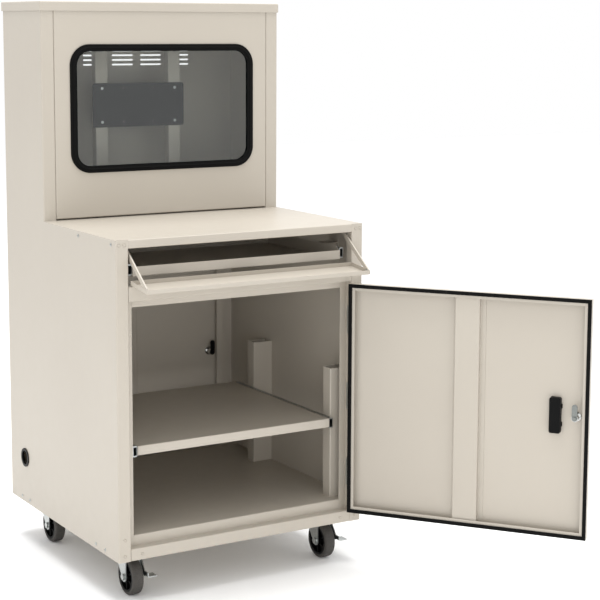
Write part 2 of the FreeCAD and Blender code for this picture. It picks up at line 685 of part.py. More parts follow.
bracket_y = FRONT + TRAY_BRACKET_FRONT
post_y = FRONT + POST_FRONT
brackets = [tray_bracket(bracket_y + i * TRAY_BRACKET_SPACING) for i in range(2)]
posts = [slide_post(post_y + i * POST_SPACING) for i in range(2)]
tray_run = TRAY_SLIDE_LENGTH - SLIDE_SETBACK
tray_slide = (TRAY_WIDTH / 2, TRAY_FRONT + SLIDE_SETBACK, tray_run, TRAY_SLIDE_Z)
shelf_run = SHELF_SLIDE_LENGTH - SLIDE_SETBACK
shelf_slide = (SHELF_WIDTH / 2, SHELF_FRONT + SLIDE_SETBACK, shelf_run, SHELF_SLIDE_Z)
add("tray_slide_brackets", *both_sides(brackets))
add("shelf_slide_posts", *both_sides(posts))
add("tray_slides_fixed", *both_sides([slide_fixed(*tray_slide)]))
add("tray_slides_moving", *both_sides([slide_moving(*tray_slide)]))
add("shelf_slides_fixed", *both_sides([slide_fixed(*shelf_slide)]))
add("shelf_slides_moving", *both_sides([slide_moving(*shelf_slide)]))


def keyboard_tray():
    half = TRAY_WIDTH / 2
    back = TRAY_FRONT + TRAY_DEPTH
    wall_top = TRAY_BOTTOM + TRAY_WALL
    lip = [(TRAY_FRONT, TRAY_BOTTOM + TRAY_LIP), (TRAY_FRONT, TRAY_BOTTOM)]
    lip += [(back, TRAY_BOTTOM), (back, wall_top)]
    pieces = [folded("yz", lip, -half, half)]
    wall_front = TRAY_FRONT + TRAY_WALL_SETBACK
    outline = [(back - BEND, TRAY_BOTTOM + SHEET / 2), (back - BEND, wall_top), (wall_front, wall_top)]
    outline += [(wall_front, TRAY_BOTTOM + SHEET / 2), (back - BEND, TRAY_BOTTOM + SHEET / 2)]
    radii = [0.0, 0.0, TRAY_WALL_ROUND, 0.0, 0.0]
    wall = prism("yz", path_edges("yz", half - SHEET, outline, radii), half - SHEET, half)
    return fused(pieces + both_sides([wall]))


def printer_shelf():
    half = SHELF_WIDTH / 2
    back = SHELF_FRONT + SHELF_DEPTH
    low = SHELF_TOP - SHELF_LIP
    block = rounded("xy", -half, half, SHELF_FRONT, back, BEND, low, SHELF_TOP)
    block = block.makeFillet(BEND - SHEET / 2, edges_on(block, "z", SHELF_TOP))
    inside = box(-half + SHEET, half - SHEET, SHELF_FRONT + SHEET, back - SHEET,
                 low - PAST, SHELF_TOP - SHEET)
    return block.cut(inside)


add("keyboard_tray", keyboard_tray())
add("printer_shelf", printer_shelf())

# Hinges: three knuckles each, leaves folded into the gap beside the door


def hinge(gap, leaf_width):
    """Frame leaf, moving leaf and pin about the Z axis: X to the frame, Y into the gap."""
    third = HINGE_LENGTH / 3
    spans = [(-1.5 * third, -0.5 * third - HINGE_AXIAL_GAP / 2)]
    spans += [(-0.5 * third + HINGE_AXIAL_GAP / 2, 0.5 * third - HINGE_AXIAL_GAP / 2)]
    spans += [(0.5 * third + HINGE_AXIAL_GAP / 2, 1.5 * third)]
    bore = rod(HINGE_PIN_RADIUS + HINGE_PIN_CLEARANCE, 2 * HINGE_LENGTH, (0, 0, -HINGE_LENGTH), (0, 0, 1))
    low, high = spans[0][0], spans[2][1]
    reach = HINGE_OFFSET + leaf_width
    leaves = []
    for side, mine in ((1, (0, 2)), (-1, (1,))):
        pieces = [box(side * (gap / 2 - HINGE_LEAF), side * gap / 2, 0, reach, low, high)]
        tools = [bore]
        for i, (a, b) in enumerate(spans):
            if i in mine:
                pieces.append(rod(HINGE_BARREL_RADIUS, b - a, (0, 0, a), (0, 0, 1)))
            else:
                room = HINGE_BARREL_RADIUS + HINGE_PROUD
                tools.append(rod(room, b - a + 2 * HINGE_AXIAL_GAP, (0, 0, a - HINGE_AXIAL_GAP), (0, 0, 1)))
        knuckled = fused(pieces)
        leaves.append(cut(knuckled, tools))
    pin = rod(HINGE_PIN_RADIUS, high - low, (0, 0, low), (0, 0, 1))
    return leaves[0], leaves[1], pin


def placed(shape, axis, angle, place):
    result = shape.copy()
    result.rotate(FreeCAD.Vector(0, 0, 0), FreeCAD.Vector(*axis), angle)
    result.translate(FreeCAD.Vector(*place))
    return result


def hinge_places(low, high):
    first = low + HINGE_END_INSET + HINGE_LENGTH / 2
    last = high - HINGE_END_INSET - HINGE_LENGTH / 2
    return [first, (first + last) / 2, last]


def hinge_set(places, axis, angle, leaf_width):
    frame_leaf, moving_leaf, pin = hinge(DOOR_GAP, leaf_width)
    frame = []
    moving = []
    for place in places:
        frame += [placed(frame_leaf, axis, angle, place), placed(pin, axis, angle, place)]
        moving.append(placed(moving_leaf, axis, angle, place))
    return frame, moving


# Doors: folded pans with a lock, on hinges


def door_pan(half, low, high, thickness, back_flange):
    """Pan with its skin at Y = 0 and its open side towards +Y."""
    pan = box(-half, half, 0, thickness, low, high)
    pan = pan.makeFillet(BEND - SHEET / 2, edges_on(pan, "y", 0))
    flange = SHEET if back_flange else 0
    inside = box(-half + SHEET, half - SHEET, SHEET, thickness - flange, low + SHEET, high - SHEET)
    mouth = box(-half + back_flange, half - back_flange, SHEET, thickness + PAST,
                low + back_flange, high - back_flange)
    return cut(pan, [inside, mouth]) if back_flange else pan.cut(inside)


def stiffener(low, high):
    half = STIFFENER_WIDTH / 2
    top = SHEET + STIFFENER_DEPTH
    skin = [(-half - STIFFENER_FLANGE, SHEET), (-half, SHEET), (-half, top)]
    skin += [(half, top), (half, SHEET), (half + STIFFENER_FLANGE, SHEET)]
    return folded("xy", skin, low + SHEET + FIT, high - SHEET - FIT)


def lock_body(x):
    """Key cylinder along Y, its face in front of the skin."""
    face = rod(LOCK_FACE_RADIUS, LOCK_FACE_THICKNESS, (x, -LOCK_FACE_THICKNESS, LOCK_Z), (0, 1, 0))
    barrel = rod(LOCK_RADIUS, CAM_PLANE - FIT, (x, 0, LOCK_Z), (0, 1, 0))
    nut = rod(LOCK_NUT_RADIUS, LOCK_NUT, (x, SHEET, LOCK_Z), (0, 1, 0))
    key = box(x - KEYWAY / 2, x + KEYWAY / 2, -LOCK_FACE_THICKNESS - PAST, KEYWAY_DEPTH - LOCK_FACE_THICKNESS,
              LOCK_Z - LOCK_RADIUS / 2, LOCK_Z + LOCK_RADIUS / 2)
    return fused([face, barrel, nut]).cut(key)


def lock_cam(x):
    plate = rounded("xz", x - CAM_WIDTH / 2, x + CAM_WIDTH / 2, LOCK_Z - CAM_WIDTH / 2, LOCK_Z + CAM_LENGTH,
                    CAM_WIDTH / 2, CAM_PLANE, CAM_PLANE + CAM_THICKNESS)
    bolt = rod(CAM_BOLT_RADIUS, CAM_BOLT, (x, CAM_PLANE + CAM_THICKNESS, LOCK_Z), (0, 1, 0))
    return fused([plate, bolt])


def lock_hole(x):
    return rod(LOCK_RADIUS + FIT, 3 * SHEET, (x, -SHEET, LOCK_Z), (0, 1, 0))


def pull_block(grow, y0, y1):
    half = PULL_WIDTH / 2 + grow
    rise = PULL_HEIGHT / 2 + grow
    corner = PULL_CORNER + grow
    return rounded("xz", PULL_X - half, PULL_X + half, LOCK_Z - rise, LOCK_Z + rise, corner, y0, y1)


def door_pull():
    cup = fused([pull_block(0, 0, PULL_DEPTH), pull_block(PULL_BEZEL, -PULL_WALL, 0)])
    return cup.cut(pull_block(-PULL_WALL, -PULL_WALL - PAST, PULL_DEPTH - PULL_WALL))


def gasket_ring(half, low, high):
    outer = box(-half, half, DOOR_THICKNESS, DOOR_THICKNESS + GASKET_THICKNESS, low, high)
    w = GASKET_WIDTH
    inner = box(-half + w, half - w, DOOR_THICKNESS - PAST, DOOR_THICKNESS + GASKET_THICKNESS + PAST,
                low + w, high - w)
    return outer.cut(inner)


def on_front(shape):
    """From the pan's own frame to the front opening, then swung open about the hinge axis."""
    result = placed(shape, (0, 0, 1), 0, (0, FRONT, 0))
    return turned(result, FRONT_AXIS, (0, 0, 1), FRONT_DOOR_ANGLE)


def on_rear(shape):
    return placed(shape, (0, 0, 1), 180, (0, BACK, 0))


front_lock_x = -FRONT_DOOR_HALF + LOCK_FROM_EDGE
front_pan = door_pan(FRONT_DOOR_HALF, DOOR_BOTTOM, DOOR_TOP, DOOR_THICKNESS, DOOR_RETURN)
pull_hole = pull_block(FIT, -PAST, SHEET + PAST)
add("front_door_panel", on_front(cut(front_pan, [lock_hole(front_lock_x), pull_hole])))
add("front_door_gasket", on_front(gasket_ring(FRONT_DOOR_HALF, DOOR_BOTTOM, DOOR_TOP)))
add("front_door_stiffener", on_front(stiffener(DOOR_BOTTOM, DOOR_TOP)))
add("front_door_pull", on_front(door_pull()))
add("front_door_lock", on_front(lock_body(front_lock_x)))
add("front_lock_cam", on_front(lock_cam(front_lock_x)))
front_places = [(*FRONT_AXIS[:2], z) for z in hinge_places(DOOR_BOTTOM, DOOR_TOP)]
frame, moving = hinge_set(front_places, (0, 0, 1), 0, HINGE_LEAF_WIDTH)
add("front_hinge_frame_leaves", *frame)
moving = [turned(leaf, FRONT_AXIS, (0, 0, 1), FRONT_DOOR_ANGLE) for leaf in moving]
add("front_hinge_door_leaves", *moving)

rear_lock_x = -REAR_DOOR_HALF + LOCK_FROM_EDGE
rear_pan = door_pan(REAR_DOOR_HALF, DOOR_BOTTOM, DOOR_TOP, DOOR_THICKNESS, DOOR_RETURN)
add("rear_door_panel", on_rear(rear_pan.cut(lock_hole(rear_lock_x))))
add("rear_door_stiffener", on_rear(stiffener(DOOR_BOTTOM, DOOR_TOP)))
add("rear_door_lock", on_rear(lock_body(rear_lock_x)))
add("rear_lock_cam", on_rear(lock_cam(rear_lock_x)))
rear_places = [(*REAR_AXIS[:2], z) for z in hinge_places(DOOR_BOTTOM, DOOR_TOP)]
frame, moving = hinge_set(rear_places, (0, 0, 1), 180, HINGE_LEAF_WIDTH)
add("rear_hinge_frame_leaves", *frame)
add("rear_hinge_door_leaves", *moving)

# Drop flap of the keyboard opening, modelled shut and then swung down


def swung_down(shape):
    return turned(shape, FLAP_AXIS, (1, 0, 0), FLAP_ANGLE)


def flap_stay():
    """Diagonal bar inside the flap's right end; its hook stops behind the jamb when the flap is down."""
    axis_y, axis_z = FLAP_AXIS[1:]
    inset = SHEET + FIT + STAY_WIDTH * math.sqrt(0.5)
    back = HINGE_OFFSET + inset
    rise = FLAP_TOP - inset - axis_z
    down = math.radians(FLAP_ANGLE)
    down_foot = (axis_y + back * math.cos(down) - rise * math.sin(down),
                 axis_z + back * math.sin(down) + rise * math.cos(down))
    tip = (STOP_PLANE + FIT + STAY_WIDTH / 2, axis_z + STAY_RISE)
    x1 = FLAP_HALF - SHEET
    x0 = x1 - STAY_THICKNESS
    length = math.dist(down_foot, tip)
    bar = rounded("yz", -STAY_WIDTH / 2, length + STAY_WIDTH / 2, -STAY_WIDTH / 2, STAY_WIDTH / 2,
                  STAY_WIDTH / 2, x0, x1)
    tilt = math.degrees(math.atan2(tip[1] - down_foot[1], tip[0] - down_foot[0]))
    bar = placed(bar, (1, 0, 0), tilt, (0, *down_foot))
    hook = rod(STAY_HOOK_RADIUS, STAY_THICKNESS + STAY_HOOK, (x0, *tip), (1, 0, 0))
    return fused([bar, hook])


flap = door_pan(FLAP_HALF, FLAP_BOTTOM, FLAP_TOP, FLAP_THICKNESS, 0)
add("keyboard_flap", swung_down(placed(flap, (0, 0, 1), 0, (0, FRONT, 0))))
add("flap_stays", *both_sides([flap_stay()]))
flap_places = [(x, *FLAP_AXIS[1:]) for x in hinge_places(-FLAP_HALF, FLAP_HALF)]
frame, moving = hinge_set(flap_places, (0, 1, 0), 90, FLAP_LEAF_WIDTH)
add("flap_hinge_frame_leaves", *frame)
add("flap_hinge_door_leaves", *[swung_down(leaf) for leaf in moving])

# Casters


def caster_plate():
    plate = rounded("xy", -CASTER_PLATE_X / 2, CASTER_PLATE_X / 2, -CASTER_PLATE_Y / 2, CASTER_PLATE_Y / 2,
                    CASTER_PLATE_CORNER, PLATE_BOTTOM, CHANNEL_BOTTOM)
    race = rod(RACE_RADIUS, RACE_HEIGHT, (0, 0, RACE_BOTTOM), (0, 0, 1))
    height = CHANNEL_BOTTOM - RACE_BOTTOM + 2 * PAST
    bore = rod(KINGPIN_RADIUS + AXLE_CLEARANCE, height, (0, 0, RACE_BOTTOM - PAST), (0, 0, 1))
    return fused([plate, race]).cut(bore)


def caster_fork(braked):
    outer = FORK_INNER + FORK_SHEET
    head_front = AXLE_Y - FORK_HEAD_FRONT
    head_back = FORK_HEAD_BACK
    cheek_top = FORK_TOP - FORK_HEAD
    skin = [(outer, cheek_top), (outer, FORK_TOP), (-outer, FORK_TOP), (-outer, cheek_top)]
    head = folded("xz", skin, head_front, head_back, FORK_SHEET, FORK_BEND)
    pin_length = CHANNEL_BOTTOM - KINGPIN_SHORT - FORK_TOP + FORK_SHEET
    pieces = [head, rod(KINGPIN_RADIUS, pin_length, (0, 0, FORK_TOP - FORK_SHEET), (0, 0, 1))]
    for side in (-1, 1):
        x0 = FORK_INNER if side > 0 else -outer
        top = cheek_top + PAST
        outline = [(head_front, top), (head_back, top), (AXLE_Y + FORK_EYE, WHEEL_RADIUS)]
        outline += [(AXLE_Y - FORK_EYE, WHEEL_RADIUS), (head_front, top)]
        pieces.append(prism("yz", path_edges("yz", x0, outline, [0] * len(outline)), x0, x0 + FORK_SHEET))
        pieces.append(rod(FORK_EYE, FORK_SHEET, (x0, AXLE_Y, WHEEL_RADIUS), (1, 0, 0)))
    tools = [rod(AXLE_RADIUS + AXLE_CLEARANCE, 4 * outer, (-2 * outer, AXLE_Y, WHEEL_RADIUS), (1, 0, 0))]
    if braked:
        tools.append(rod(PEDAL_PIN_RADIUS + AXLE_CLEARANCE, 4 * outer, (-2 * outer, *PEDAL_PIVOT), (1, 0, 0)))
    axle = rod(AXLE_RADIUS, 2 * outer, (-outer, AXLE_Y, WHEEL_RADIUS), (1, 0, 0))
    heads = [rod(AXLE_HEAD_RADIUS, AXLE_HEAD, (outer, AXLE_Y, WHEEL_RADIUS), (1, 0, 0))]
    heads.append(rod(AXLE_HEAD_RADIUS, AXLE_HEAD, (-outer, AXLE_Y, WHEEL_RADIUS), (-1, 0, 0)))
    return cut(fused(pieces), tools), fused([axle] + heads)


def wheel_disc(radius, half):
    return rod(radius, 2 * half, (-half, AXLE_Y, WHEEL_RADIUS), (1, 0, 0))


def caster_wheel():
    rim = WHEEL_RADIUS - TYRE_THICKNESS
    half = WHEEL_WIDTH / 2
    ring = wheel_disc(rim, half).cut(wheel_disc(rim - RIM_THICKNESS, half + PAST))
    web = wheel_disc(rim - RIM_THICKNESS / 2, WEB_THICKNESS / 2)
    hub = wheel_disc(HUB_RADIUS, FORK_INNER - HUB_CLEARANCE)
    return fused([ring, web, hub]).cut(wheel_disc(AXLE_RADIUS + AXLE_CLEARANCE, 2 * FORK_INNER))


def caster_tyre():
    half = WHEEL_WIDTH / 2
    block = wheel_disc(WHEEL_RADIUS, half)
    block = block.makeFillet(TYRE_ROUND, edges_on(block, "x", -half) + edges_on(block, "x", half))
    return block.cut(wheel_disc(WHEEL_RADIUS - TYRE_THICKNESS, half + PAST))


def pedal_arm_outline():
    """The arm's flat shape, from just behind the pivot to its low end, as a round-ended strip."""
    y, z = PEDAL_PIVOT
    fall = math.radians(PEDAL_ARM_TILT)
    along = (-math.cos(fall), -math.sin(fall))
    across = (-math.sin(fall), math.cos(fall))
    half = PEDAL_ARM_WIDTH / 2
    reach = PEDAL_ARM / 2
    spots = [(reach, -half), (PEDAL_ARM + half, -half), (PEDAL_ARM + half, half), (-half, half), (-half, -half)]
    spots.append(spots[0])
    return [(y + a * along[0] + c * across[0], z + a * along[1] + c * across[1]) for a, c in spots]


def brake_pedal():
    """Side lever on a pin through the fork's cheeks: an arm beside the tyre and a foot pad bent outward."""
    y, z = PEDAL_PIVOT
    outer = FORK_INNER + FORK_SHEET
    x0 = outer + PEDAL_SIDE_GAP
    x1 = x0 + PEDAL_THICKNESS
    pin = rod(PEDAL_PIN_RADIUS, outer + x1, (-outer, y, z), (1, 0, 0))
    head = rod(PEDAL_PIN_HEAD_RADIUS, PEDAL_PIN_HEAD, (x1, y, z), (1, 0, 0))
    outline = pedal_arm_outline()
    radii = [0] + [PEDAL_ARM_ROUND] * (len(outline) - 2) + [0]
    arm = prism("yz", path_edges("yz", x0, outline, radii), x0, x1)
    half = PEDAL_ARM_WIDTH / 2
    end_y = y - PEDAL_ARM * math.cos(math.radians(PEDAL_ARM_TILT))
    end_z = z - PEDAL_ARM * math.sin(math.radians(PEDAL_ARM_TILT))
    skin = [(x0, end_z + half), (x0, end_z - half), (x0 + PEDAL_PAD_WIDTH, end_z - half)]
    pad = folded("xz", skin, end_y + half - PEDAL_PAD_LENGTH, end_y + half, PEDAL_THICKNESS, PEDAL_BEND)
    return fused([pin, head, arm, pad])


plates = []
for row, row_y in (("front", -CASTER_Y), ("rear", CASTER_Y)):
    for hand, x in (("left", -CASTER_X), ("right", CASTER_X)):
        place = (x, row_y, 0)
        name = "caster_" + row + "_" + hand
        plates.append(placed(caster_plate(), (0, 0, 1), 0, place))
        add(name + "_fork", *[placed(s, (0, 0, 1), 0, place) for s in caster_fork(row == "front")])
        add(name + "_wheel", placed(caster_wheel(), (0, 0, 1), 0, place))
        add(name + "_tyre", placed(caster_tyre(), (0, 0, 1), 0, place))
        if row == "front":
            add(name + "_pedal", placed(brake_pedal(), (0, 0, 1), 0, place))
add("caster_plates", *plates)

# Screws through the panels, each in a drilled hole

screws = []
drilled = {}


def screw(place, outward, through):
    inward = tuple(-d for d in outward)
    head = rod(SCREW_HEAD_RADIUS, SCREW_HEAD, place, outward)
    shank = rod(SCREW_RADIUS, SCREW_LENGTH, place, inward)
    screws.append(fused([head, shank]))
    hole = rod(SCREW_RADIUS + SCREW_CLEARANCE, 2 * SCREW_LENGTH, place, inward)
    for name in through:
        drilled.setdefault(name, []).append(hole)


for side, panel in ((-1, "left_side_panel"), (1, "right_side_panel")):
    out = (side, 0, 0)
    z = WORKTOP_HEIGHT - WORKTOP_FLANGE / 2
    for y in WORKTOP_SCREWS:
        screw((side * HALF, FRONT + y, z), out, [panel, "worktop"])
    z = CHANNEL_BOTTOM + CHANNEL_SCREW_RISE
    for row_y in (-CASTER_Y, CASTER_Y):
        for y in (row_y - CHANNEL_SCREW_SPACING / 2, row_y + CHANNEL_SCREW_SPACING / 2):
            screw((side * HALF, y, z), out, [panel, "caster_channels"])
    x = side * (REAR_OPENING_HALF + REAR_PANEL_OVERLAP / 2)
    span = CAP_BOTTOM - REAR_RAIL_TOP - 2 * REAR_SCREW_INSET
    for i in range(REAR_SCREWS):
        z = REAR_RAIL_TOP + REAR_SCREW_INSET + span * i / (REAR_SCREWS - 1)
        screw((x, BACK, z), (0, 1, 0), [panel, "upper_rear_panel"])
    for z in (-MONITOR_HOLE_SPACING / 2, MONITOR_HOLE_SPACING / 2):
        place = (side * MONITOR_RAIL_SPACING / 2, MONITOR_PLATE_FRONT, WINDOW_CENTRE + z)
        screw(place, (0, -1, 0), ["monitor_plate", "monitor_rails"])
add("cabinet_screws", *screws)
for name, holes in drilled.items():
    add(name, cut(nodes[name], holes))

for name, shape in nodes.items():
    shape.exportStep("parts/" + name + ".step")
print(len(nodes), "nodes, front door axis", FRONT_AXIS[:2], "flap axis", FLAP_AXIS[1:])
print("rear door axis", REAR_AXIS[:2], "lock height", LOCK_Z, "lock x", front_lock_x, rear_lock_x)
print("pedal pivot", PEDAL_PIVOT, "monitor plate", MONITOR_PLATE_FRONT, WINDOW_CENTRE)
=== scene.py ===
# %% [markdown]
# # A steel computer cabinet on casters
# The real cabinet is folded sheet steel with a baked powder coat: an upper housing with a rubber-framed
# window, a worktop, a drop flap in front of a sliding tray, and a lower compartment with a sliding shelf.
# Its true shapes come ready made as solids, so this lesson adds what solids lack: the finishes, the small
# fasteners, and the light and camera that show them.

import json
import math

import bmesh
import bpy
from mathutils import Matrix, Vector


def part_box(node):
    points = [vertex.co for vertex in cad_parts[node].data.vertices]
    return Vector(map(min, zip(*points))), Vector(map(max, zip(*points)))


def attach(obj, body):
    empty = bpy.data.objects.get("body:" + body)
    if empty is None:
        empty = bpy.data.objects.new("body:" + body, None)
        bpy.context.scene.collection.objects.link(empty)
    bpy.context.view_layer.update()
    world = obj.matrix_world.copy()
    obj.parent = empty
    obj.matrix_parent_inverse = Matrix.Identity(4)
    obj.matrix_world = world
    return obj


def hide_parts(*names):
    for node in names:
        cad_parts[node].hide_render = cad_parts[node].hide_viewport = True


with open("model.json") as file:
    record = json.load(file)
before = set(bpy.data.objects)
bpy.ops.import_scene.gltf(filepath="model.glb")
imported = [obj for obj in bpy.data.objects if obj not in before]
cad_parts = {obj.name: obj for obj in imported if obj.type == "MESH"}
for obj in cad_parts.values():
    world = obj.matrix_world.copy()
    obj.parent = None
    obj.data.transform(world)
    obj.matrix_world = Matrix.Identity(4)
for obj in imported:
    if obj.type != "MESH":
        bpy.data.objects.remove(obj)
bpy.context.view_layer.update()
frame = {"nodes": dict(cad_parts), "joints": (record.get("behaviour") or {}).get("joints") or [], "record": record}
nodes = frame["nodes"]

# %% [markdown]
# ## Small tools for every finish
# Paint colours are given as sRGB hex codes, but shaders add light in linear numbers, so one function
# does that change. Another adds a node, sets it and links it, which keeps each finish readable as a list.
# Patterns are given by the size of their features, and lie on the coordinates of the piece that wears them.

# %% Colour and node tools
MM_PER_METRE = 1000.0


def linear(code):
    """sRGB hex code to linear red, green, blue and full opacity."""
    parts = [int(code[i:i + 2], 16) / 255 for i in (1, 3, 5)]
    return (*[p / 12.92 if p <= 0.04045 else ((p + 0.055) / 1.055) ** 2.4 for p in parts], 1.0)


def feed(tree, node, inputs):
    """Give a node its inputs: values, sockets to link from, or nodes for their first output."""
    for name, value in inputs.items():
        if isinstance(value, bpy.types.Node):
            value = next(socket for socket in value.outputs if socket.enabled)
        if isinstance(value, bpy.types.NodeSocket):
            tree.links.new(value, node.inputs[name])
        else:
            node.inputs[name].default_value = value


def put(tree, kind, inputs=None, **settings):
    """Add a node; settings are its own switches, and the inputs are fed to it."""
    made = tree.nodes.new(kind)
    for name, value in settings.items():
        setattr(made, name, value)
    feed(tree, made, inputs or {})
    return made


def finish_tree(name):
    """An empty finish, its shader and the coordinates of the piece itself."""
    material = bpy.data.materials.new(name)
    material.use_nodes = True
    tree = material.node_tree
    tree.nodes.clear()
    shader = put(tree, "ShaderNodeBsdfPrincipled")
    put(tree, "ShaderNodeOutputMaterial", {"Surface": shader})
    place = put(tree, "ShaderNodeTexCoord").outputs["Object"]
    return material, tree, shader, place


def per_metre(millimetres):
    """Pattern scale for features of that size."""
    return MM_PER_METRE / millimetres


PAINT = "#B9B2A6"
print("putty paint in linear numbers:", [round(v, 3) for v in linear(PAINT)])

# %% [markdown]
# ## Putty powder coat
# Powder coat is plastic dust that is charged on to the steel and melted in an oven. It flows almost level and
# leaves a fine orange peel about 2 mm wide, a satin gloss and a very even colour. The peel is a noise bump.
# It is drawn 5 mm wide here, because true peel is finer than a pixel of this picture. Slow drifts of colour
# and gloss keep large panels from looking like flat fills.

# %% Powder coat
PAINT_DRIFT, GRIME = "#B3AB9F", "#8C8274"
DRIFT_MM, GRIME_MM, PEEL_MM = 420, 35, 5
GRIME_STARTS, GRIME_FULL, GRIME_SHARE = 0.30, 0.12, 0.12
PLASTIC_IOR = 1.5


def powder_coat():
    material, tree, shader, place = finish_tree("powder_coat_putty")
    drift = put(tree, "ShaderNodeTexNoise", {"Vector": place, "Scale": per_metre(DRIFT_MM), "Detail": 2.0})
    colour = put(tree, "ShaderNodeMix", {"Factor": drift, "A": linear(PAINT), "B": linear(PAINT_DRIFT)},
                 data_type="RGBA")
    # grime gathers in the lowest 18 cm of the panels
    height = put(tree, "ShaderNodeSeparateXYZ", {"Vector": place}).outputs["Z"]
    low = put(tree, "ShaderNodeMapRange", {"Value": height, "From Min": GRIME_STARTS, "From Max": GRIME_FULL})
    speck = put(tree, "ShaderNodeTexNoise", {"Vector": place, "Scale": per_metre(GRIME_MM), "Detail": 6.0})
    dirt = put(tree, "ShaderNodeMath", {0: low, 1: speck}, operation="MULTIPLY")
    faint = put(tree, "ShaderNodeMath", {0: dirt, 1: GRIME_SHARE}, operation="MULTIPLY")
    worn = put(tree, "ShaderNodeMix", {"Factor": faint, "A": colour, "B": linear(GRIME)}, data_type="RGBA")
    gloss = put(tree, "ShaderNodeMapRange", {"Value": speck, "To Min": 0.34, "To Max": 0.46})
    peel = put(tree, "ShaderNodeTexNoise", {"Vector": place, "Scale": per_metre(PEEL_MM), "Detail": 3.0})
    bump = put(tree, "ShaderNodeBump", {"Height": peel, "Strength": 0.10, "Distance": 0.0006})
    feed(tree, shader, {"Base Color": worn, "Roughness": gloss, "Normal": bump, "IOR": PLASTIC_IOR})
    return material


coat = powder_coat()
print("finish:", coat.name)

# %% [markdown]
# ## Bright zinc, black oxide and chrome
# Slides, hinges, forks and screws are zinc plated: a cool grey metal with soft cloudy crystals a few
# millimetres across. The rear lock's cam and the plate behind the window are blackened steel, dark and
# slightly oily. The lock cylinders are bright plated and nearly mirror smooth. The front lock's cam is a
# stamping with a duller, darker plating than the rest. The fine grain of the plating is drawn 1.5 mm wide,
# coarser than the true one, so that it shows from near by.

# %% Metals
PLATING_MM, CRYSTALS_PER_CLOUD = 1.5, 4


def metal(name, light, dark, cell, rough_low, rough_high):
    """Metal with cloudy crystals of that size in millimetres, between two colours and two roughnesses."""
    material, tree, shader, place = finish_tree(name)
    crystal = put(tree, "ShaderNodeTexVoronoi", {"Vector": place, "Scale": per_metre(cell)})
    cloud_size = cell * CRYSTALS_PER_CLOUD
    cloud = put(tree, "ShaderNodeTexNoise", {"Vector": place, "Scale": per_metre(cloud_size), "Detail": 5.0})
    both = put(tree, "ShaderNodeMath", {0: crystal, 1: cloud}, operation="MULTIPLY")
    colour = put(tree, "ShaderNodeMix", {"Factor": both, "A": linear(light), "B": linear(dark)},
                 data_type="RGBA")
    rough = put(tree, "ShaderNodeMapRange", {"Value": cloud, "To Min": rough_low, "To Max": rough_high})
    grain = put(tree, "ShaderNodeTexNoise", {"Vector": place, "Scale": per_metre(PLATING_MM), "Detail": 2.0})
    bump = put(tree, "ShaderNodeBump", {"Height": grain, "Strength": 0.06, "Distance": 0.0003})
    feed(tree, shader, {"Base Color": colour, "Roughness": rough, "Normal": bump, "Metallic": 1.0})
    return material


zinc = metal("zinc_plated_steel", "#C2C5C3", "#8F9496", 4.0, 0.24, 0.42)
oxide = metal("black_oxide_steel", "#2A2A2B", "#151516", 6.0, 0.34, 0.52)
chrome = metal("bright_plated_lock", "#BDBDBB", "#959797", 3.0, 0.08, 0.20)
stamping = metal("dull_plated_stamping", "#858885", "#5C6060", 3.0, 0.34, 0.52)
print("finishes:", zinc.name, oxide.name, chrome.name, stamping.name)

# %% [markdown]
# ## Rubber and moulded plastic
# The window seal and the door's edge strip are extruded black rubber: matt, with a soft sheen and pale dust
# in the grain. The tread is harder grey rubber, dulled by the floor. The pull, grommet and wheel centres
# are moulded black plastic with a fine spark-eroded grain. True grain is a fraction of a millimetre, so it is
# drawn 2 to 4 mm wide to show at all.

# %% Rubbers and plastic
DUST_MM = 60


def moulded(name, deep, dusty, grain, depth, rough_low, rough_high, shine):
    """Dark moulded stuff with grain of that size in millimetres and dust on its high spots."""
    material, tree, shader, place = finish_tree(name)
    fine = put(tree, "ShaderNodeTexNoise", {"Vector": place, "Scale": per_metre(grain), "Detail": 4.0})
    broad = put(tree, "ShaderNodeTexNoise", {"Vector": place, "Scale": per_metre(DUST_MM), "Detail": 3.0})
    dust = put(tree, "ShaderNodeMath", {0: fine, 1: broad}, operation="MULTIPLY")
    colour = put(tree, "ShaderNodeMix", {"Factor": dust, "A": linear(deep), "B": linear(dusty)},
                 data_type="RGBA")
    rough = put(tree, "ShaderNodeMapRange", {"Value": broad, "To Min": rough_low, "To Max": rough_high})
    bump = put(tree, "ShaderNodeBump", {"Height": fine, "Strength": 0.15, "Distance": depth})
    feed(tree, shader, {"Base Color": colour, "Roughness": rough, "Normal": bump, "IOR": PLASTIC_IOR,
                        "Specular IOR Level": shine})
    return material


seal = moulded("extruded_black_rubber", "#050505", "#121211", 3.0, 0.0003, 0.55, 0.72, 0.10)
tread = moulded("grey_tread_rubber", "#383633", "#64605C", 4.0, 0.0006, 0.62, 0.85, 0.30)
plastic = moulded("moulded_black_plastic", "#050505", "#101010", 2.0, 0.0003, 0.34, 0.48, 0.10)
print("finishes:", seal.name, tread.name, plastic.name)

# %% [markdown]
# ## Clear acrylic
# The pane is cast acrylic: clear and glossy, and it bends light a little less than glass does. A flawless
# pane can hardly be seen, so faint wipe marks about a hand long change its gloss.

# %% Window pane
WIPE_MM = 180
ACRYLIC_IOR = 1.49


def acrylic_sheet():
    material, tree, shader, place = finish_tree("clear_cast_acrylic")
    wipe = put(tree, "ShaderNodeTexNoise", {"Vector": place, "Scale": per_metre(WIPE_MM), "Detail": 3.0})
    rough = put(tree, "ShaderNodeMapRange", {"Value": wipe, "To Min": 0.01, "To Max": 0.05})
    feed(tree, shader, {"Base Color": linear("#F4F8F7"), "Roughness": rough, "Transmission Weight": 1.0,
                        "IOR": ACRYLIC_IOR})
    return material


acrylic = acrylic_sheet()
print("finish:", acrylic.name)

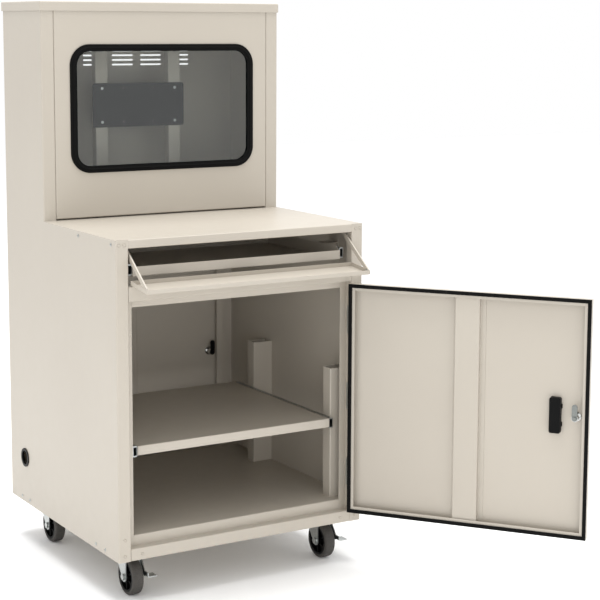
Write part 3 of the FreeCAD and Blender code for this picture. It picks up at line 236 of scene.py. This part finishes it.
# %% [markdown]
# ## Dress the solids
# The record says which finish each solid has, so one table from its slots to these materials dresses all of
# them at once, and no piece is forgotten. Only the stamped cam differs from the other plated pieces.

# %% Finishes on the solids
FINISH = {
    "powder_coat": coat,
    "zinc_plate": zinc,
    "black_steel": oxide,
    "lock_chrome": chrome,
    "seal_rubber": seal,
    "tread_rubber": tread,
    "black_plastic": plastic,
    "clear_acrylic": acrylic,
}
for row in frame["record"]["subparts"]:
    mesh = nodes[row["node"]].data
    mesh.materials.clear()
    mesh.materials.append(FINISH[row["material_slot"]])
nodes["front_lock_cam"].data.materials[0] = stamping

# %% [markdown]
# ## Small parts that repeat
# Screws, rivets, weld marks and bolts repeat by the dozen, so each kind is one Geometry Nodes tree: it makes
# one head from named sizes and sets a copy on every point, turned to face the way the panel faces. A tree
# only needs points with an outward direction, which is less work than placing meshes, and a change of size
# reaches every copy. The result is kept as a plain mesh that rides on the body it is fixed to.

# %% Geometry tree tools


def shape_tree(name, sizes):
    """A geometry tree with one named input for each size; whole numbers become counts."""
    tree = bpy.data.node_groups.new(name, "GeometryNodeTree")
    tree.interface.new_socket("Geometry", in_out="INPUT", socket_type="NodeSocketGeometry")
    for size, value in sizes.items():
        kind = "NodeSocketInt" if isinstance(value, int) else "NodeSocketFloat"
        tree.interface.new_socket(size, in_out="INPUT", socket_type=kind)
    tree.interface.new_socket("Geometry", in_out="OUTPUT", socket_type="NodeSocketGeometry")
    return tree, put(tree, "NodeGroupInput").outputs


def stand(tree, shape, height):
    """Lift a shape of that height, made about the origin, to stand on it."""
    half = put(tree, "ShaderNodeMath", {0: height, 1: 0.5}, operation="MULTIPLY")
    lift = put(tree, "ShaderNodeCombineXYZ", {"Z": half})
    return put(tree, "GeometryNodeTransform", {"Geometry": shape, "Translation": lift})


def set_on_points(tree, entry, head, turn_seed, material):
    """Copy the head on to every point, facing outward, with a random turn where a seed is given."""
    outward = put(tree, "GeometryNodeInputNamedAttribute", {"Name": "outward"}, data_type="FLOAT_VECTOR")
    facing = put(tree, "FunctionNodeAlignRotationToVector", {"Vector": outward}, axis="Z")
    if turn_seed is not None:
        turn = put(tree, "FunctionNodeRandomValue", {"Max": math.pi, "Seed": turn_seed}, data_type="FLOAT")
        spin = put(tree, "FunctionNodeAxisAngleToRotation", {"Axis": (0, 0, 1), "Angle": turn})
        facing = put(tree, "FunctionNodeRotateRotation", {"Rotation": facing, "Rotate By": spin},
                     rotation_space="LOCAL")
    copies = put(tree, "GeometryNodeInstanceOnPoints",
                 {"Points": entry["Geometry"], "Instance": head, "Rotation": facing})
    real = put(tree, "GeometryNodeRealizeInstances", {"Geometry": copies})
    dressed = put(tree, "GeometryNodeSetMaterial", {"Geometry": real, "Material": material})
    put(tree, "NodeGroupOutput", {"Geometry": dressed})


def grow(name, tree, points, sizes, body):
    """Run the tree on (place, outward) pairs and keep the result as a plain mesh on a body."""
    mesh = bpy.data.meshes.new(name)
    mesh.from_pydata([place for place, outward in points], [], [])
    outward = mesh.attributes.new("outward", "FLOAT_VECTOR", "POINT")
    outward.data.foreach_set("vector", [v for place, direction in points for v in direction])
    start = bpy.data.objects.new(name + "_points", mesh)
    bpy.context.scene.collection.objects.link(start)
    modifier = start.modifiers.new(name, "NODES")
    modifier.node_group = tree
    for item in tree.interface.items_tree:
        if item.in_out == "INPUT" and item.name in sizes:
            modifier[item.identifier] = sizes[item.name]
    shown = start.evaluated_get(bpy.context.evaluated_depsgraph_get())
    piece = bpy.data.objects.new(name, bpy.data.meshes.new_from_object(shown))
    bpy.data.objects.remove(start)
    bpy.context.scene.collection.objects.link(piece)
    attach(piece, body)
    print(name, "on", body, "-", len(points), "points,", len(piece.data.polygons), "faces")
    return piece


# %% [markdown]
# ## Pan head screws
# The panels are held by zinc screws with a low round head and a cross recess. The solids have plain round
# heads, so each head is made again here: a cylinder whose top is pressed into a dome, less two crossed bars
# for the recess.

# %% Cross recess screws
SCREW = {"Sides": 20, "Head Radius": 0.0045, "Head Height": 0.0022, "Dome": 0.0011, "Recess Length": 0.0052,
         "Recess Width": 0.0011, "Recess Depth": 0.0013}
SCREW_SEED = 7


def domed(tree, sides, radius, height, dome):
    """Cylinder standing on the origin, its top pressed into a dome."""
    blank = put(tree, "GeometryNodeMeshCylinder", {"Vertices": sides, "Side Segments": 2, "Fill Segments": 3,
                "Radius": radius, "Depth": height}, fill_type="TRIANGLE_FAN")
    position = put(tree, "GeometryNodeInputPosition")
    place = put(tree, "ShaderNodeSeparateXYZ", {"Vector": position}).outputs
    flat = put(tree, "ShaderNodeCombineXYZ", {"X": place["X"], "Y": place["Y"]})
    reach = put(tree, "ShaderNodeVectorMath", {0: flat}, operation="LENGTH")
    share = put(tree, "ShaderNodeMath", {0: reach, 1: radius}, operation="DIVIDE")
    curve = put(tree, "ShaderNodeMath", {0: share, 1: 2.0}, operation="POWER")
    fall = put(tree, "ShaderNodeMath", {0: curve, 1: dome}, operation="MULTIPLY")
    upper = put(tree, "ShaderNodeMath", {0: place["Z"], 1: 0.0}, operation="GREATER_THAN")
    lower = put(tree, "ShaderNodeMath", {0: fall, 1: upper}, operation="MULTIPLY")
    down = put(tree, "ShaderNodeMath", {0: lower, 1: -1.0}, operation="MULTIPLY")
    offset = put(tree, "ShaderNodeCombineXYZ", {"Z": down})
    pressed = put(tree, "GeometryNodeSetPosition", {"Geometry": blank, "Offset": offset})
    return stand(tree, pressed, height)


def screw_tree():
    tree, entry = shape_tree("pan_head_screws", SCREW)
    head = domed(tree, entry["Sides"], entry["Head Radius"], entry["Head Height"], entry["Dome"])
    deep = put(tree, "ShaderNodeMath", {0: entry["Recess Depth"], 1: 2.0}, operation="MULTIPLY")
    raised = put(tree, "ShaderNodeCombineXYZ", {"Z": entry["Head Height"]})
    recess = put(tree, "GeometryNodeMeshBoolean", {"Mesh 1": head}, operation="DIFFERENCE")
    for along, across in (("X", "Y"), ("Y", "X")):
        size = put(tree, "ShaderNodeCombineXYZ",
                   {along: entry["Recess Length"], across: entry["Recess Width"], "Z": deep})
        bar = put(tree, "GeometryNodeMeshCube", {"Size": size})
        set_in = put(tree, "GeometryNodeTransform", {"Geometry": bar, "Translation": raised})
        feed(tree, recess, {"Mesh 2": set_in})
    set_on_points(tree, entry, recess, SCREW_SEED, zinc)
    return tree


pan_heads = screw_tree()
print(pan_heads.name, "is a tree of", len(pan_heads.nodes), "nodes")

# %% [markdown]
# ## Places of the screws
# The places come from the solids themselves, so head and hole can't drift apart. The node of the screws is a
# cloud of loose screws: points that are joined by edges are one screw, and the nearest panel says which way
# its head faces.

# %% Screws on the panels
SAME_POINT, NEAR_PANEL = 1e-6, 0.01
FORWARD, BACKWARD = (0, -1, 0), (0, 1, 0)


def screw_places(node):
    """Middle and outward direction of each screw in a node of loose screws."""
    build = bmesh.new()
    build.from_mesh(nodes[node].data)
    bmesh.ops.remove_doubles(build, verts=build.verts, dist=SAME_POINT)
    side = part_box("right_side_panel")[1]
    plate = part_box("monitor_plate")[0].y
    waiting = set(build.verts)
    places = []
    while waiting:
        found = [waiting.pop()]
        for vert in found:
            near = {edge.other_vert(vert) for edge in vert.link_edges} & waiting
            waiting -= near
            found.extend(near)
        low = Vector([min(v.co[i] for v in found) for i in range(3)])
        high = Vector([max(v.co[i] for v in found) for i in range(3)])
        middle = (low + high) / 2
        if abs(middle.x) > side.x - NEAR_PANEL:
            sign = math.copysign(1.0, middle.x)
            places.append(((sign * side.x, middle.y, middle.z), (sign, 0, 0)))
        elif middle.y > side.y - NEAR_PANEL:
            places.append(((middle.x, side.y, middle.z), BACKWARD))
        else:
            places.append(((middle.x, plate, middle.z), FORWARD))
    build.free()
    return sorted(places)


screws = grow("panel_screws", pan_heads, screw_places("cabinet_screws"), SCREW, "cabinet")
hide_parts("cabinet_screws")

# %% [markdown]
# ## One tree for rivets, weld marks, bolts and washers
# All of them are the same domed cylinder with other sizes: six sides make a hex head and a very low dome
# makes a weld mark under the paint. So one tree serves them all, once in paint and once in zinc.

# %% Domed heads
RIVET = {"Sides": 18, "Radius": 0.0042, "Height": 0.0020, "Dome": 0.0015}
HEAD_SEED = 3


def head_tree(name, material):
    tree, entry = shape_tree(name, RIVET)
    head = domed(tree, entry["Sides"], entry["Radius"], entry["Height"], entry["Dome"])
    set_on_points(tree, entry, head, HEAD_SEED, material)
    return tree


painted_heads = head_tree("painted_heads", coat)
zinc_heads = head_tree("zinc_heads", zinc)
print("head trees:", painted_heads.name, zinc_heads.name)

# %% [markdown]
# ## Corner rivets
# Low rivets under the paint close the front corners: on the stile, on the kick rail and on the hem of the
# worktop. Their places follow the boxes of those pieces, mirrored to both sides.

# %% Rivets of the front corners
STILE_RISE, RAIL_INSET, HEM_INSET, HEM_STEP = 0.044, 0.032, 0.009, 0.015
side_low, side_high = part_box("right_side_panel")
rail_low, rail_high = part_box("kick_rail")
front = side_low.y
stile_x = (side_high.x + rail_high.x) / 2
rail_z = (rail_low.z + rail_high.z) / 2
hem_x = side_high.x - HEM_INSET
hem_z = sum(end.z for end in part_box("worktop")) / 2
corner = ((stile_x, rail_z), (stile_x, rail_z + STILE_RISE), (rail_high.x - RAIL_INSET, rail_z),
          (hem_x, hem_z), (hem_x - HEM_STEP, hem_z))
corner_rivets = [((side * x, front, z), FORWARD) for side in (-1, 1) for x, z in corner]
grow("corner_rivets", painted_heads, corner_rivets, RIVET, "cabinet")

# %% [markdown]
# ## Measuring a door that stands open
# The front door is open at rest, so its pieces lie at an angle. It is easier to think of it shut: one
# function measures a piece as if the door were shut, and another carries a point from there to the open door.

# %% Front door tools
swing = next(joint for joint in frame["joints"] if joint["name"] == "front_door_swing")
SHUT_TO_OPEN = Matrix.Rotation(-math.radians(swing["range_deg"][0]), 3, "Z")
HINGE = Vector((swing["pos_m"][0], swing["pos_m"][1], 0.0))


def on_open_door(x, y, z):
    """A point of the shut front door, carried to where it is with the door open."""
    return tuple(HINGE + SHUT_TO_OPEN @ (Vector((x, y, z)) - HINGE))


def shut_box(node):
    """Lowest and highest corner of a piece of the front door, as if the door were shut."""
    spots = [HINGE + SHUT_TO_OPEN.transposed() @ (v.co - HINGE) for v in nodes[node].data.vertices]
    return [Vector([end(spot[i] for spot in spots) for i in range(3)]) for end in (min, max)]


print("front door open by", round(math.degrees(SHUT_TO_OPEN.to_euler().z), 1), "degrees")

# %% [markdown]
# ## Weld marks on the door stiffeners
# Spot welds hold the flanges of a stiffener to the door's skin and leave low round marks under the paint, in
# two even rows. The rows follow the stiffener's box, on the front door and on the rear door alike.

# %% Weld marks
WELD = {"Sides": 18, "Radius": 0.0040, "Height": 0.0004, "Dome": 0.0003}
SHEET, FLANGE, WELD_INSET, WELD_COUNT = 0.0015, 0.016, 0.0352, 8


def weld_places(low, high):
    """X and Z of the weld marks along the two flanges of a stiffener with that box."""
    step = (high.z - low.z - 2 * WELD_INSET) / (WELD_COUNT - 1)
    heights = [low.z + WELD_INSET + i * step for i in range(WELD_COUNT)]
    return [(x, z) for x in (low.x + FLANGE / 2, high.x - FLANGE / 2) for z in heights]


inwards = tuple(SHUT_TO_OPEN @ Vector(BACKWARD))
low, high = shut_box("front_door_stiffener")
front_welds = [(on_open_door(x, low.y + SHEET, z), inwards) for x, z in weld_places(low, high)]
grow("front_door_welds", painted_heads, front_welds, WELD, "front_door")
low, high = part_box("rear_door_stiffener")
rear_welds = [((x, high.y - SHEET, z), FORWARD) for x, z in weld_places(low, high)]
grow("rear_door_welds", painted_heads, rear_welds, WELD, "rear_door")

# %% [markdown]
# ## Rivets of the flap's stays
# Each stay is a flat bar that is riveted to the flap at its lower end. The rivet sits in the middle of the
# bar's round end, on its inner face.

# %% Stay rivets
STAY_RIVET = {"Sides": 20, "Radius": 0.0045, "Height": 0.0020, "Dome": 0.0014}
STAY_HALF, STAY_THICKNESS, STAY_HOOK = 0.006, 0.004, 0.0055
low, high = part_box("flap_stays")
stay_face = high.x - STAY_HOOK - STAY_THICKNESS
stay_end = (low.y + STAY_HALF, low.z + STAY_HALF)
stay_rivets = [((side * stay_face, *stay_end), (-side, 0, 0)) for side in (-1, 1)]
grow("stay_rivets", zinc_heads, stay_rivets, STAY_RIVET, "flap")

# %% [markdown]
# ## Bolts of the casters
# Four hex bolts with washers hold each caster's plate from below. They stand round the kingpin, which is
# where the caster's swivel joint is.

# %% Caster bolts
WASHER = {"Sides": 24, "Radius": 0.0078, "Height": 0.0010, "Dome": 0.0001}
BOLT = {"Sides": 6, "Radius": 0.0062, "Height": 0.0042, "Dome": 0.0006}
BOLT_X, BOLT_Y, PLATE_THICKNESS = 0.036, 0.025, 0.004
DOWNWARD = (0, 0, -1)
plate_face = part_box("caster_channels")[0].z - PLATE_THICKNESS
kingpins = [joint["pos_m"] for joint in frame["joints"] if joint["name"].startswith("swivel_")]
bolts = [((x + i * BOLT_X, y + j * BOLT_Y, plate_face), DOWNWARD)
         for x, y, z in kingpins for i in (-1, 1) for j in (-1, 1)]
grow("caster_washers", zinc_heads, bolts, WASHER, "cabinet")
grow("caster_bolts", zinc_heads, bolts, BOLT, "cabinet")

# %% [markdown]
# ## Filler strip of the window seal
# A glazing seal of this kind is pushed over the panel's edge and locked by a thin filler strip that is pulled
# into a groove all round. A strip that follows a path is a curve with a round section swept along it: a
# rectangle with rounded corners, just inside the seal's own outline.

# %% Window strip
STRIP_INSET, STRIP_SUNK = 0.010, 0.001
seal_low, seal_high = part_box("window_gasket")
STRIP = {"Width": seal_high.x - seal_low.x - 2 * STRIP_INSET,
         "Height": seal_high.z - seal_low.z - 2 * STRIP_INSET, "Corner": 0.050, "Corner Points": 14,
         "Section Radius": 0.0032, "Section Points": 12}


def strip_tree():
    tree, entry = shape_tree("seal_strip", STRIP)
    outline = put(tree, "GeometryNodeCurvePrimitiveQuadrilateral",
                  {"Width": entry["Width"], "Height": entry["Height"]})
    rounded = put(tree, "GeometryNodeFilletCurve", {"Curve": outline, "Count": entry["Corner Points"],
                  "Radius": entry["Corner"]}, mode="POLY")
    section = put(tree, "GeometryNodeCurvePrimitiveCircle",
                  {"Resolution": entry["Section Points"], "Radius": entry["Section Radius"]})
    swept = put(tree, "GeometryNodeCurveToMesh", {"Curve": rounded, "Profile Curve": section})
    set_on_points(tree, entry, swept, None, seal)
    return tree


strip_at = (0.0, seal_low.y + STRIP_SUNK, (seal_low.z + seal_high.z) / 2)
strip = grow("window_strip", strip_tree(), [(strip_at, FORWARD)], STRIP, "cabinet")
strip.data.shade_smooth()

# %% [markdown]
# ## Ribs in the wheels
# A moulded wheel centre is a thin web stiffened by ribs between hub and rim, on both faces. A ring of points
# carries one bar each, turned to point at the hub, and each wheel gets its own mesh because it rolls alone.

# %% Wheel ribs
RIBS = {"Count": 6, "Hub": 0.0145, "Rim": 0.0365, "Thickness": 0.0032, "Depth": 0.0075}
WEB_HALF = 0.006


def rib_tree():
    tree, entry = shape_tree("wheel_ribs", RIBS)
    both = put(tree, "ShaderNodeMath", {0: entry["Hub"], 1: entry["Rim"]}, operation="ADD")
    middle = put(tree, "ShaderNodeMath", {0: both, 1: 0.5}, operation="MULTIPLY")
    ring = put(tree, "GeometryNodeMeshCircle", {"Vertices": entry["Count"], "Radius": middle})
    length = put(tree, "ShaderNodeMath", {0: entry["Rim"], 1: entry["Hub"]}, operation="SUBTRACT")
    size = put(tree, "ShaderNodeCombineXYZ", {"X": length, "Y": entry["Thickness"], "Z": entry["Depth"]})
    bar = stand(tree, put(tree, "GeometryNodeMeshCube", {"Size": size}), entry["Depth"])
    position = put(tree, "GeometryNodeInputPosition")
    radial = put(tree, "FunctionNodeAlignRotationToVector", {"Vector": position}, axis="X")
    ribs = put(tree, "GeometryNodeInstanceOnPoints", {"Points": ring, "Instance": bar, "Rotation": radial})
    set_on_points(tree, entry, ribs, None, plastic)
    return tree


wheel_ribs = rib_tree()
for joint in frame["joints"]:
    if joint["name"].startswith("roll_"):
        x, y, z = joint["pos_m"]
        faces = [((x + side * WEB_HALF, y, z), (side, 0, 0)) for side in (-1, 1)]
        grow(joint["child"] + "_ribs", wheel_ribs, faces, RIBS, joint["child"])

# %% [markdown]
# ## Snap clips of the recessed pull
# From inside the door the pull is a black box, held in its cut-out by two sprung clips on each long side.
# They are small wedges with softened edges, so plain mesh code is the shortest way.

# %% Pull clips
PULL_BEZEL = 0.004
CLIP_PROUD, CLIP_ROOT, CLIP_TALL, CLIP_RISE = 0.0032, 0.001, 0.013, 0.025
CLIP_NEAR, CLIP_FAR, CLIP_SOFT = 0.0018, 0.0105, 0.0005


def pull_clips():
    build = bmesh.new()
    low, high = shut_box("front_door_pull")
    middle = (low + high) / 2
    half = (high.x - low.x) / 2 - PULL_BEZEL
    near, far = front + CLIP_NEAR, front + CLIP_FAR
    for side in (-1, 1):
        for rise in (-CLIP_RISE, CLIP_RISE):
            inner, outer = middle.x + side * (half - CLIP_ROOT), middle.x + side * (half + CLIP_PROUD)
            wedge = ((inner, near), (outer, near), (inner, far))
            ends = [middle.z + rise + end * CLIP_TALL / 2 for end in (-1, 1)]
            rings = [[build.verts.new(on_open_door(x, y, z)) for x, y in wedge] for z in ends]
            build.faces.new(rings[0])
            build.faces.new(rings[1])
            for i in range(3):
                build.faces.new((rings[0][i - 1], rings[0][i], rings[1][i], rings[1][i - 1]))
    bmesh.ops.recalc_face_normals(build, faces=build.faces)
    bmesh.ops.bevel(build, geom=build.edges, offset=CLIP_SOFT, segments=2, affect="EDGES")
    mesh = bpy.data.meshes.new("pull_clips")
    build.to_mesh(mesh)
    build.free()
    mesh.materials.append(plastic)
    piece = bpy.data.objects.new("pull_clips", mesh)
    bpy.context.scene.collection.objects.link(piece)
    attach(piece, "front_door")
    print("pull clips:", len(mesh.polygons), "faces")


pull_clips()

# %% [markdown]
# ## White studio
# The cabinet stands on white paper in a white room, so that only its own soft shadow shows. The paper is
# very wide, because an edge near by would draw a line behind the cabinet.

# %% Floor and room
FLOOR_HALF, FLOOR_CELLS, PAPER_MM = 14.0, 4, 300
WHITE = linear("#FFFFFF")


def studio_floor():
    mesh = bpy.data.meshes.new("studio_floor")
    build = bmesh.new()
    bmesh.ops.create_grid(build, x_segments=FLOOR_CELLS, y_segments=FLOOR_CELLS, size=FLOOR_HALF)
    build.to_mesh(mesh)
    build.free()
    floor = bpy.data.objects.new("studio_floor", mesh)
    bpy.context.scene.collection.objects.link(floor)
    material, tree, shader, place = finish_tree("white_studio_paper")
    grain = put(tree, "ShaderNodeTexNoise", {"Vector": place, "Scale": per_metre(PAPER_MM), "Detail": 2.0})
    rough = put(tree, "ShaderNodeMapRange", {"Value": grain, "To Min": 0.75, "To Max": 0.9})
    feed(tree, shader, {"Base Color": WHITE, "Roughness": rough, "Specular IOR Level": 0.1})
    mesh.materials.append(material)
    print("floor:", material.name, [round(v, 1) for v in floor.dimensions])


def white_room():
    world = bpy.data.worlds.new("white_room")
    bpy.context.scene.world = world
    world.use_nodes = True
    walls = world.node_tree.nodes["Background"]
    feed(world.node_tree, walls, {"Color": WHITE, "Strength": 1.0})


studio_floor()
white_room()

# %% [markdown]
# ## Soft lights
# Three large round lamps add to the light of the room and give soft edges to every shadow. The widest and
# strongest hangs high above, a low one in front opens the shade under the worktop, and a weak one on the
# right keeps the far edges from going flat.

# %% Lamps
AIM, LOW_AIM = (0.1, -0.2, 0.85), (0.1, -0.4, 0.3)
LAMPS = {
    "key": {"place": (-1.2, -3.4, 0.7), "aim": LOW_AIM, "size": 1.8, "power": 16.0},
    "fill": {"place": (3.8, -3.2, 2.4), "aim": AIM, "size": 3.0, "power": 2.0},
    "top": {"place": (0.0, 0.0, 6.5), "aim": AIM, "size": 4.6, "power": 380.0},
}


def soft_light(name, place, aim, size, power):
    lamp = bpy.data.lights.new(name, "AREA")
    lamp.shape = "DISK"
    lamp.size = size
    lamp.energy = power
    holder = bpy.data.objects.new(name, lamp)
    holder.location = place
    holder.rotation_euler = (Vector(aim) - Vector(place)).to_track_quat("-Z", "Y").to_euler()
    bpy.context.scene.collection.objects.link(holder)
    print("lamp", name, "at", place, "with", power, "W")


for name, settings in LAMPS.items():
    soft_light(name, **settings)
bpy.context.scene.view_settings.view_transform = "Standard"

# %% [markdown]
# ## Camera
# The camera stands front left, a little under the top of the housing, and looks slightly down. A long lens
# keeps the upright edges nearly parallel, and a small shift of the lens brings the feet into the picture.

# %% Camera
CAMERA_AT = Vector((-2.1088, -4.1132, 1.5262))
YAW, PITCH, ROLL = (math.radians(d) for d in (31.4510, 7.5520, 0.2279))
FOCAL_PIXELS, IMAGE_PIXELS, SENSOR_MM = 1608.66, 600.0, 36.0
LENS_SHIFT = -0.10
ahead = Vector((math.sin(YAW) * math.cos(PITCH), math.cos(YAW) * math.cos(PITCH), -math.sin(PITCH)))
level = Vector((math.cos(YAW), -math.sin(YAW), 0.0))
above = level.cross(ahead)
right = level * math.cos(ROLL) + above * math.sin(ROLL)
up = above * math.cos(ROLL) - level * math.sin(ROLL)
lens = bpy.data.cameras.new("camera")
lens.sensor_width = SENSOR_MM
lens.lens = FOCAL_PIXELS / IMAGE_PIXELS * SENSOR_MM
lens.shift_y = LENS_SHIFT
camera = bpy.data.objects.new("camera", lens)
camera.matrix_world = Matrix.Translation(CAMERA_AT) @ Matrix((right, up, -ahead)).transposed().to_4x4()
bpy.context.scene.collection.objects.link(camera)
bpy.context.scene.camera = camera
print("lens", round(lens.lens, 1), "mm at", [round(v, 2) for v in CAMERA_AT])
